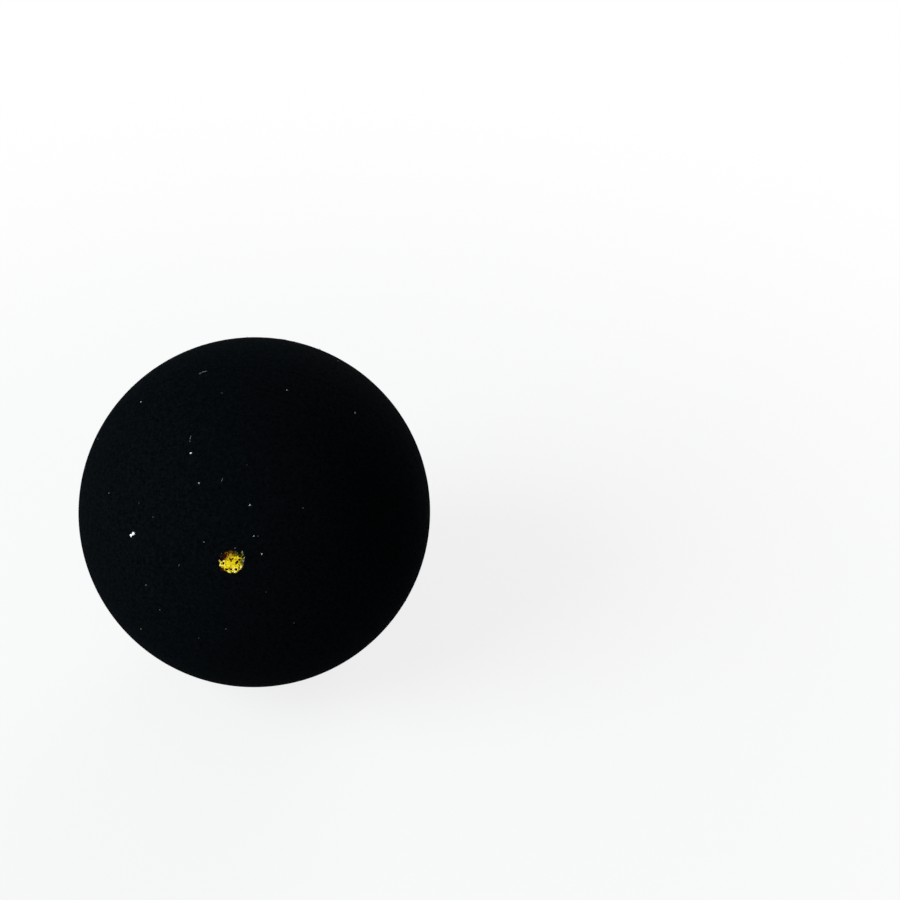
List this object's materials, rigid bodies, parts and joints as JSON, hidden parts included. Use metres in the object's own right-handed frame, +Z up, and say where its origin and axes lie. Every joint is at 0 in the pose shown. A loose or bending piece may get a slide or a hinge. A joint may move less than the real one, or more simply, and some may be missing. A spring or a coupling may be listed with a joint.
{
  "type": "squash ball",
  "caption": "Small hollow matt black rubber ball with a printed yellow speed dot, moulded in halves that are cemented at a buffed seam, for racket play on a walled court.",
  "frame": {"origin": "centre of the ball", "axes": "+Z up as the ball lies in the picture, -Y towards the front half shell that carries the dot, seam in the XZ plane"},
  "size_m": [0.04, 0.04, 0.04],
  "materials": {
    "buffed_rubber": "black, buffed matt, fine grain",
    "rubber_cement": "dark cured cement, buffed flush outside",
    "yellow_ink": "thin stamped yellow ink, broken by the rubber's grain"
  },
  "bodies": {
    "root": {"front_half_shell": "buffed_rubber", "back_half_shell": "buffed_rubber", "seam_cement": "rubber_cement", "yellow_dot": "yellow_ink"}
  },
  "joints": []
}
